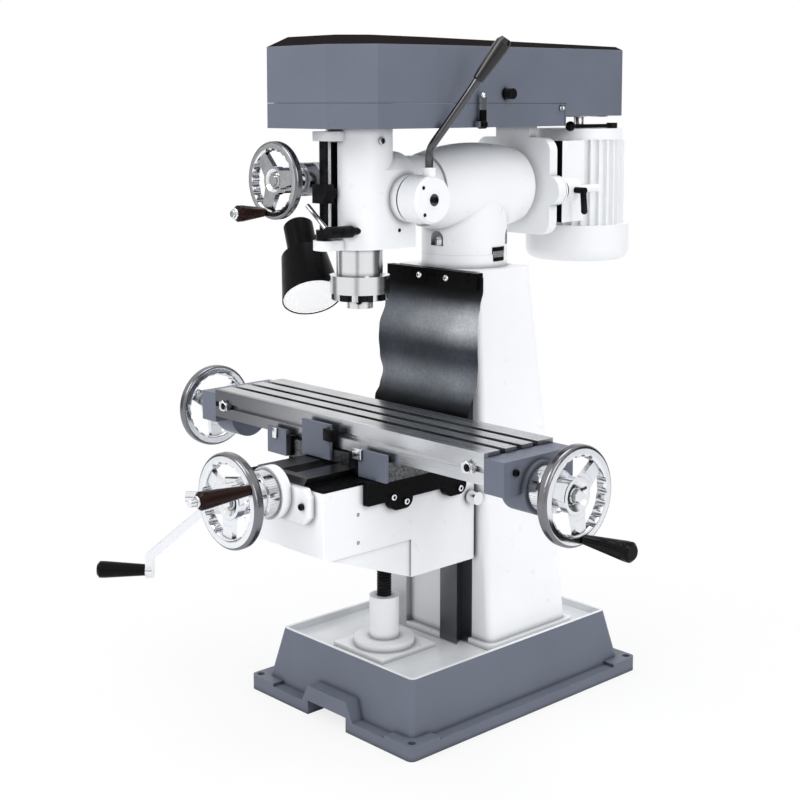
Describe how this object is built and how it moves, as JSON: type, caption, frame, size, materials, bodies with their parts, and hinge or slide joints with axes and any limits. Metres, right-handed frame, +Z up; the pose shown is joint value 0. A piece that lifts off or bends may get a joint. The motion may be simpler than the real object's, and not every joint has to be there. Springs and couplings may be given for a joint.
{
  "type": "vertical milling machine",
  "caption": "Small vertical knee mill: chip-tray base, dovetail column, crank-raised knee, cross slide, T-slot table with handwheels, turret head with quill and belt cover.",
  "frame": {"origin": "middle of the base's underside, between the four foundation bolt holes", "axes": "+X is the operator's right along the table, +Y runs from the operator back to the column, +Z is up"},
  "size_m": [0.9826, 1.0054, 1.1165],
  "materials": {
    "grey_paint": "satin",
    "white_paint": "satin",
    "black_paint": "satin",
    "black_steel": "blackened",
    "steel": "ground",
    "chrome": "polished",
    "cast_iron": "scraped",
    "bronze": "machined",
    "aluminium": "machined",
    "rubber": "matte",
    "black_plastic": "gloss",
    "brown_plastic": "gloss"
  },
  "bodies": {
    "frame": {"base": "grey_paint", "column": "white_paint", "elevating_pedestal": "white_paint", "way_cover": "rubber", "way_cover_clamp": "black_paint"},
    "knee": {"knee": "white_paint", "knee_gib": "cast_iron", "knee_guards": "black_paint", "cross_bracket": "white_paint"},
    "knee_lock": {"knee_lock": "chrome"},
    "lift_screw": {"elevating_screw": "black_steel"},
    "crank": {"crank_shaft": "chrome", "crank_arm": "white_paint"},
    "crank_grip": {"crank_grip": "black_plastic"},
    "cross_feed": {"cross_screw": "steel", "cross_wheel": "chrome"},
    "cross_grip": {"cross_grip": "brown_plastic"},
    "saddle": {"saddle": "cast_iron", "feed_nuts": "bronze", "saddle_keepers": "black_paint", "saddle_stops": "grey_paint"},
    "table": {"table": "steel", "end_caps": "grey_paint"},
    "table_feed": {"feed_screw": "steel", "table_wheels": "chrome"},
    "table_grip": {"table_grip": "black_plastic"},
    "left_dog": {"left_dog": "steel"},
    "right_dog": {"right_dog": "steel"},
    "turret": {"turret": "white_paint", "turret_nuts": "chrome"},
    "head": {"overarm": "white_paint", "head": "white_paint", "motor_bracket": "white_paint", "belt_pan": "grey_paint", "depth_stop_rod": "black_steel", "lamp_arm": "black_paint", "drive_belts": "rubber"},
    "quill": {"quill": "chrome", "stop_block": "black_steel", "spindle_bearings": "steel"},
    "spindle": {"spindle": "steel", "nose_ring": "black_steel"},
    "spindle_pulley": {"spindle_pulley": "aluminium"},
    "idler_pulley": {"idler_pulley": "aluminium"},
    "feed_lever": {"feed_pinion": "steel", "feed_hub": "white_paint", "feed_lever": "black_steel"},
    "fine_feed": {"fine_feed_wheel": "chrome"},
    "fine_feed_grip": {"fine_feed_grip": "brown_plastic"},
    "quill_lock": {"quill_lock": "black_steel"},
    "stop_nut": {"stop_nut": "black_steel"},
    "lamp": {"lamp_shade": "black_paint"},
    "motor": {"motor_frame": "white_paint", "fan_cover": "white_paint"},
    "rotor": {"motor_rotor": "steel", "motor_pulley": "aluminium"},
    "motor_clamp": {"motor_clamp_lever": "black_steel"},
    "tension": {"tension_lever": "black_steel"},
    "lid": {"belt_lid": "grey_paint"},
    "latch": {"latch_lever": "black_paint"}
  },
  "joints": [
    {"name": "crank_turn", "type": "hinge", "parent": "knee", "child": "crank", "pos_m": [0, -0.149, 0.354], "axis": [0.7071, 0.7071, 0], "range_deg": [-8645, 12965]},
    {"name": "knee_slide", "type": "slide", "parent": "frame", "child": "knee", "axis": [0, 0, 1], "range_m": [-0.06, 0.09], "deforming": ["way_cover"]},
    {"name": "lift_screw_turn", "type": "hinge", "parent": "knee", "child": "lift_screw", "pos_m": [0, -0.149, 0.3], "axis": [0, 0, 1], "range_deg": [-6490, 4330]},
    {"name": "crank_grip_spin", "type": "hinge", "parent": "crank", "child": "crank_grip", "pos_m": [-0.28496, -0.43396, 0.226], "axis": [0.7071, 0.7071, 0], "continuous": true},
    {"name": "knee_lock_turn", "type": "hinge", "parent": "knee", "child": "knee_lock", "pos_m": [0.1, -0.048, 0.359], "axis": [1, 0, 0], "range_deg": [-60, 60]},
    {"name": "cross_feed_turn", "type": "hinge", "parent": "knee", "child": "cross_feed", "pos_m": [0, -0.4, 0.409], "axis": [0, 1, 0], "range_deg": [-6485, 1085]},
    {"name": "saddle_slide", "type": "slide", "parent": "knee", "child": "saddle", "axis": [0, 1, 0], "range_m": [-0.09, 0.015]},
    {"name": "cross_grip_spin", "type": "hinge", "parent": "cross_feed", "child": "cross_grip", "pos_m": [0.05881, -0.48, 0.43896], "axis": [0, 1, 0], "continuous": true},
    {"name": "table_feed_turn", "type": "hinge", "parent": "table", "child": "table_feed", "pos_m": [0, -0.178, 0.451], "axis": [1, 0, 0], "range_deg": [-14045, 14045]},
    {"name": "table_slide", "type": "slide", "parent": "saddle", "child": "table", "axis": [1, 0, 0], "range_m": [-0.195, 0.195]},
    {"name": "table_grip_spin", "type": "hinge", "parent": "table_feed", "child": "table_grip", "pos_m": [0.46, -0.16654, 0.386], "axis": [1, 0, 0], "continuous": true},
    {"name": "left_dog_slide", "type": "slide", "parent": "table", "child": "left_dog", "axis": [1, 0, 0], "range_m": [-0.012, 0.04]},
    {"name": "right_dog_slide", "type": "slide", "parent": "table", "child": "right_dog", "axis": [1, 0, 0], "range_m": [-0.08, 0.012]},
    {"name": "turret_swivel", "type": "hinge", "parent": "frame", "child": "turret", "pos_m": [0, 0.04, 0.757], "axis": [0, 0, 1], "range_deg": [-180, 180]},
    {"name": "head_tilt", "type": "hinge", "parent": "turret", "child": "head", "pos_m": [0, 0, 0.868], "axis": [0, 1, 0], "range_deg": [-45, 45]},
    {"name": "feed_lever_turn", "type": "hinge", "parent": "head", "child": "feed_lever", "pos_m": [0, -0.1485, 0.86], "axis": [1, 0, 0], "range_deg": [-133.69, 95.49]},
    {"name": "quill_slide", "type": "slide", "parent": "head", "child": "quill", "axis": [0, 0, 1], "range_m": [-0.0301, 0.0421]},
    {"name": "spindle_spin", "type": "hinge", "parent": "quill", "child": "spindle", "pos_m": [0, -0.202, 0.75], "axis": [0, 0, 1], "continuous": true},
    {"name": "spindle_pulley_spin", "type": "hinge", "parent": "head", "child": "spindle_pulley", "pos_m": [0, -0.202, 1], "axis": [0, 0, 1], "continuous": true},
    {"name": "idler_spin", "type": "hinge", "parent": "head", "child": "idler_pulley", "pos_m": [0, 0.07, 1], "axis": [0, 0, 1], "continuous": true},
    {"name": "fine_feed_turn", "type": "hinge", "parent": "head", "child": "fine_feed", "pos_m": [-0.052, -0.3, 0.891], "axis": [0, 1, 0], "continuous": true},
    {"name": "fine_feed_grip_spin", "type": "hinge", "parent": "fine_feed", "child": "fine_feed_grip", "pos_m": [-0.07242, -0.34, 0.84047], "axis": [0, 1, 0], "continuous": true},
    {"name": "quill_lock_turn", "type": "hinge", "parent": "head", "child": "quill_lock", "pos_m": [0.036, -0.27, 0.811], "axis": [0, 1, 0], "range_deg": [-35, 35]},
    {"name": "stop_nut_slide", "type": "slide", "parent": "head", "child": "stop_nut", "axis": [0, 0, 1], "range_m": [0, 0.012]},
    {"name": "lamp_tilt", "type": "hinge", "parent": "head", "child": "lamp", "pos_m": [-0.20275, -0.15939, 0.77672], "axis": [0.4384, 0.8988, 0], "range_deg": [-20, 20]},
    {"name": "motor_slide", "type": "slide", "parent": "head", "child": "motor", "axis": [0, 1, 0], "range_m": [-0.008, 0], "deforming": ["drive_belts"]},
    {"name": "rotor_spin", "type": "hinge", "parent": "motor", "child": "rotor", "pos_m": [0, 0.342, 0.9], "axis": [0, 0, 1], "continuous": true},
    {"name": "motor_clamp_turn", "type": "hinge", "parent": "motor", "child": "motor_clamp", "pos_m": [0.11, 0.212, 0.861], "axis": [1, 0, 0], "range_deg": [-60, 60]},
    {"name": "tension_turn", "type": "hinge", "parent": "motor", "child": "tension", "pos_m": [0.048, 0.38, 0.97], "axis": [0, 0, 1], "range_deg": [-1, 41]},
    {"name": "lid_hinge", "type": "hinge", "parent": "head", "child": "lid", "pos_m": [-0.1285, -0.21, 1.012], "axis": [0, -1, 0], "range_deg": [0, 85]},
    {"name": "latch_turn", "type": "hinge", "parent": "head", "child": "latch", "pos_m": [0.11868, -0.041, 0.978], "axis": [0, 1, 0], "range_deg": [0, 100]}
  ],
  "couplings": [
    {"joint": "crank_turn", "follows": "knee_slide", "rad_per_m": 2513.3},
    {"joint": "lift_screw_turn", "follows": "knee_slide", "rad_per_m": -1256.6},
    {"joint": "cross_feed_turn", "follows": "saddle_slide", "rad_per_m": 1256.6},
    {"joint": "table_feed_turn", "follows": "table_slide", "rad_per_m": 1256.6},
    {"joint": "quill_slide", "follows": "feed_lever_turn", "m_per_rad": -0.018},
    {"joint": "idler_spin", "follows": "rotor_spin", "ratio": 1},
    {"joint": "spindle_pulley_spin", "follows": "rotor_spin", "ratio": 1.1915},
    {"joint": "spindle_spin", "follows": "rotor_spin", "ratio": 1.1915},
    {"joint": "tension_turn", "follows": "motor_slide", "rad_per_m": -87}
  ]
}
